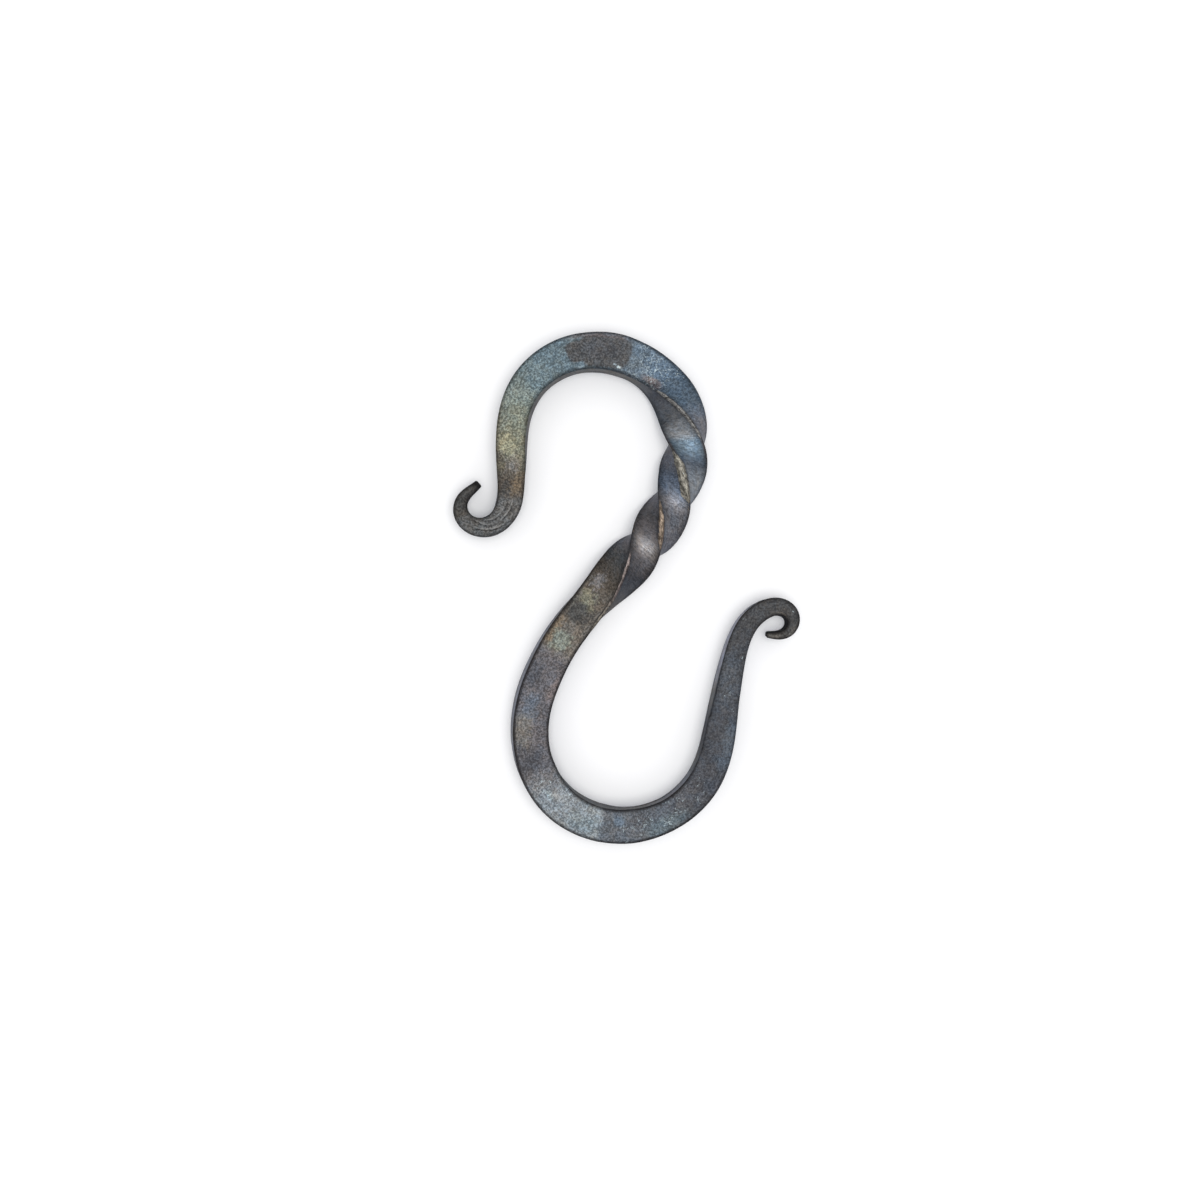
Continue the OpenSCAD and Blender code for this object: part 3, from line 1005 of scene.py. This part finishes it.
def scale_tone(n, at, grain, ripple):
    """How dark or light the scale is against its colour: a base, with grain and flecks by the grit
    of the place, mottle, and ripple in the twist. Painted shade makes it darker along the corners
    of the twist, and on the walls it is darker towards their long edges, with painted shade at
    their foot."""
    side_grit = n.ramp(at.on_side, 0.0, 1.0, 1.0, SIDE_GRIT)
    grit = n.math("MULTIPLY", n.run(at.along, GRIT_RUN), side_grit)
    mottle_tone = n.ramp(n.math("SUBTRACT", at.on_side, at.in_twist), -1.0, 1.0, *MOTTLE_TONE)
    tone = n.math(
        "ADD",
        n.math("MULTIPLY", grain["Grain"], grit, GRAIN_TONE),
        n.math("MULTIPLY", grain["Fleck"], grit, FLECK_TONE),
        n.math("MULTIPLY", grain["Mottle"], mottle_tone),
        n.math("MULTIPLY", ripple, RIPPLE_TONE),
        TONE_BASE,
    )
    # Painted shade along the corners of the twist
    corner = n.math("MULTIPLY", n.ramp(at.corner, *CORNER_BORDER), at.in_twist)
    low, high = WALL_BORDER
    # Painted shade at the foot of the walls, by the floor
    foot_shade = n.ramp(at.up, -high, -low, WALL_FOOT_SHADE_SHARE, 0.0)
    wall = n.math("MULTIPLY", at.on_side, n.math("SUBTRACT", 1.0, at.in_twist))
    wall_border = n.math("MULTIPLY", n.math("MAXIMUM", n.ramp(at.up, low, high), foot_shade), wall)
    return n.math(
        "MULTIPLY",
        n.math("MAXIMUM", tone, TONE_LEAST),
        n.ramp(corner, 0.0, 1.0, 1.0, CORNER_SHADE_TONE),
        n.ramp(wall_border, 0.0, 1.0, 1.0, WALL_BORDER_TONE),
    )


def stained(n, tint, stain):
    """A tint made warmer where the stain is above nought, and cooler where it is below."""
    warmth = n.math("MULTIPLY", stain, STAIN_TONE)
    factors = {0: n.math("ADD", 1.0, warmth), 1: 1.0, 2: n.math("SUBTRACT", 1.0, warmth)}
    return n.vector("MULTIPLY", tint, n.add("ShaderNodeCombineXYZ", factors).outputs[0])


def dark_marks_and_shade(n, at, grain, bare, lap_broken):
    """From 0 to 1, how dark a point is: painted shade in the lines along the long edges and in the
    laps' grooves, and dark scale beside bare strips."""
    line = n.math("MULTIPLY", at.edge, n.ramp(grain["Fleck"], -1.0, 1.0, LINE_BROKEN, 1.0))
    line = n.math("MAXIMUM", line, n.ramp(at.strip, 0.0, STRIP_BORDER_FULL, 0.0, STRIP_BORDER))
    scaled = n.math("SUBTRACT", 1.0, bare)
    line = n.math("MULTIPLY", line, n.run(at.along, LINE_RUN), scaled)
    return n.math("MAXIMUM", line, n.math("MULTIPLY", at.lap, lap_broken, GROOVE_SHADE))


def bare_steel(n, at):
    """The colour of the ridges of the twist that were struck bare, with a speckle of its own."""
    speckle = n.noise(at.place, SPECKLE_SPACING, detail=3, roughness=0.7)["Fac"]
    tone = n.ramp(speckle, *SPECKLE_LEVELS, *SPECKLE_TONE)
    return n.scaled(n.run(at.along, RIDGE_RUN), tone)


def forged_steel():
    """Dark forge scale over steel: heat colours in runs and patches, with painted highlights,
    reflections and shade among them, fine grain, wrinkles where the bar was twisted, dark long
    edges and laps in painted shade with a painted highlight on the laps' lips, painted shade along
    the twist's corners and at the walls' foot, ridges struck bare, and pale streaks. The grain and
    the wrinkles also stand out a little, and the twist is glossier than the rest."""
    material = bpy.data.materials.new("forged_steel")
    material.use_nodes = True
    tree = material.node_tree
    shader = tree.nodes["Principled BSDF"]
    n = Nodes(tree)
    at = read_marks(n)
    grain = n.group(grain_group(), {"Place": at.place})
    wrinkles = n.group(wrinkle_group(), {"Place": at.place})
    ripple = n.math("MULTIPLY", wrinkles["Height"], at.in_twist)

    bare_place = n.math("ADD", at.strip, n.math("MULTIPLY", grain["Fleck"], BARE_RAGGED))
    bare = n.ramp(bare_place, *BARE_LEVELS)
    lap_broken = n.ramp(grain["Fleck"], *LAP_BREAK_LEVELS, LAP_BROKEN, 1.0)
    # Painted highlight on the laps' lips
    painted_lip_highlight = n.math("MULTIPLY", n.ramp(at.lap, -1.0, 0.0, LIP_HIGHLIGHT, 0.0), lap_broken)
    dark = dark_marks_and_shade(n, at, grain, bare, lap_broken)
    amount = n.run(at.along, STREAK_RUN)
    streaks = n.group(streak_group(), {"Place": at.place, "Amount": amount})
    open_top = n.math("SUBTRACT", 1.0, n.math("MAXIMUM", dark, at.on_side))
    streak = n.math("MULTIPLY", streaks["Mask"], open_top, STREAK_PALE)

    tint = stained(n, heat_colours_and_painted_light(n, at), grain["Stain"])
    tint = n.scaled(tint, scale_tone(n, at, grain, ripple))
    tint = n.mix(painted_lip_highlight, tint, LIP_HIGHLIGHT_GREY)
    # Painted shade along the long edges and in the laps' grooves, and dark borders of bare strips
    tint = n.mix(dark, tint, SOOT_AND_SHADE)
    tint = n.mix(bare, tint, bare_steel(n, at))
    tint = n.mix(streak, tint, SPECK_AND_GLINT)
    tree.links.new(tint, shader.inputs["Base Color"])

    rough = n.math(
        "ADD",
        n.ramp(at.in_twist, 0.0, 1.0, *ROUGHNESS),
        n.math("MULTIPLY", grain["Grain"], GRAIN_ROUGHNESS),
        n.math("MULTIPLY", dark, MARK_ROUGHNESS),
    )
    tree.links.new(rough, shader.inputs["Roughness"])
    shader.inputs["Metallic"].default_value = METALLIC
    shader.inputs["Specular IOR Level"].default_value = SPECULAR_LEVEL
    shader.inputs["Specular Tint"].default_value = EDGE_TINT
    height = n.math(
        "ADD",
        n.math("MULTIPLY", grain["Grain"], GRAIN_RELIEF),
        n.math("MULTIPLY", ripple, WRINKLE_RELIEF),
    )
    relief = {"Strength": RELIEF_STRENGTH, "Distance": RELIEF_DEPTH * MM, "Height": height}
    bump = n.add("ShaderNodeBump", relief)
    tree.links.new(bump.outputs["Normal"], shader.inputs["Normal"])
    return material


# Floor and light

NO_LIGHT = (0.0, 0.0, 0.0, 1)
WHITE = (1.0, 1.0, 1.0, 1)
FLOOR_HALF = 40000
# Distances between which the floor, as the camera and the steel see it, goes from lit paper to
# plain white
FLOOR_FADE = (120, 450)
# The lit paper's colour, and the little light of its own that keeps its shadows bluish
FLOOR_SHADED = (1.0, 0.99, 0.97, 1)
FLOOR_LIFT = (0.003, 0.012, 0.03, 1)
# Colour of the floor for the light that it throws back on the hook
FLOOR_BOUNCE = (0.8, 0.8, 0.8, 1)
# Sky: its colours at the horizon and overhead, and the white backdrop round the floor, with the
# heights between which it ends, as sines
HORIZON = (0.35, 0.36, 0.38, 1)
ZENITH = (0.87, 0.87, 0.89, 1)
BACKDROP_END = (0.08, 0.3)
# Lamp: its place, its size, and its share of the light on the floor
LAMP_PLACE = (45, -35, 600)
LAMP_SIZE = 300
LAMP_SHARE = 0.45


def make_floor():
    """A plain pale floor under the hook, which keeps its soft shadow. Nearby the floor is as bright
    as the light that falls on it, and farther out it is plain white."""
    h = FLOOR_HALF * MM
    mesh = bpy.data.meshes.new("floor")
    mesh.from_pydata([(-h, -h, 0), (h, -h, 0), (h, h, 0), (-h, h, 0)], [], [(0, 1, 2, 3)])
    floor = bpy.data.objects.new("floor", mesh)
    scene.collection.objects.link(floor)

    material = bpy.data.materials.new("floor")
    material.use_nodes = True
    tree = material.node_tree
    tree.nodes.clear()
    n = Nodes(tree)
    place = n.add("ShaderNodeTexCoord").outputs["Object"]
    far = n.ramp(n.vector("LENGTH", place), FLOOR_FADE[0] * MM, FLOOR_FADE[1] * MM)
    shaded = n.add("ShaderNodeBsdfDiffuse", {"Color": n.mix(far, FLOOR_SHADED, NO_LIGHT)})
    lift = n.add("ShaderNodeEmission", {"Color": n.mix(far, FLOOR_LIFT, WHITE)})
    seen = n.add("ShaderNodeAddShader", {0: shaded.outputs[0], 1: lift.outputs[0]})
    bounce = n.add("ShaderNodeBsdfDiffuse", {"Color": FLOOR_BOUNCE})
    ray = n.add("ShaderNodeLightPath").outputs
    plain_rays = ("Is Camera Ray", "Is Glossy Ray", "Is Transmission Ray")
    direct = n.math("MAXIMUM", *(ray[name] for name in plain_rays))
    mix = n.add("ShaderNodeMixShader", {0: direct, 1: bounce.outputs[0], 2: seen.outputs[0]})
    output = n.add("ShaderNodeOutputMaterial", {"Surface": mix.outputs[0]})
    output.is_active_output = True
    mesh.materials.append(material)


def make_light():
    """Plain soft studio light: a sky that is white as a backdrop round the horizon, dim over it and
    bright overhead, and one wide lamp high over the hook. The lamp's power is its share of the
    light, times pi squared, times its distance squared."""
    world = bpy.data.worlds.new("sky")
    world.use_nodes = True
    scene.world = world
    n = Nodes(world.node_tree)
    up = n.parts(n.add("ShaderNodeTexCoord").outputs["Generated"])["Z"]
    sky = n.mix(n.ramp(up, 0.0, 1.0), HORIZON, ZENITH)
    sky = n.mix(n.ramp(up, *BACKDROP_END), WHITE, sky)
    world.node_tree.links.new(sky, world.node_tree.nodes["Background"].inputs["Color"])

    data = bpy.data.lights.new("soft_box", "AREA")
    data.shape = "DISK"
    data.size = LAMP_SIZE * MM
    distance = np.linalg.norm(LAMP_PLACE) * MM
    data.energy = LAMP_SHARE * math.pi**2 * distance**2
    lamp = bpy.data.objects.new("soft_box", data)
    lamp.location = [v * MM for v in LAMP_PLACE]
    lamp.rotation_euler = (-lamp.location).to_track_quat("-Z", "Y").to_euler()
    scene.collection.objects.link(lamp)


scene.view_settings.view_transform = "Standard"
make_floor()
make_light()

bar = make_bar()
bar.data.materials.append(forged_steel())
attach(bar, "root")
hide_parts("hook")
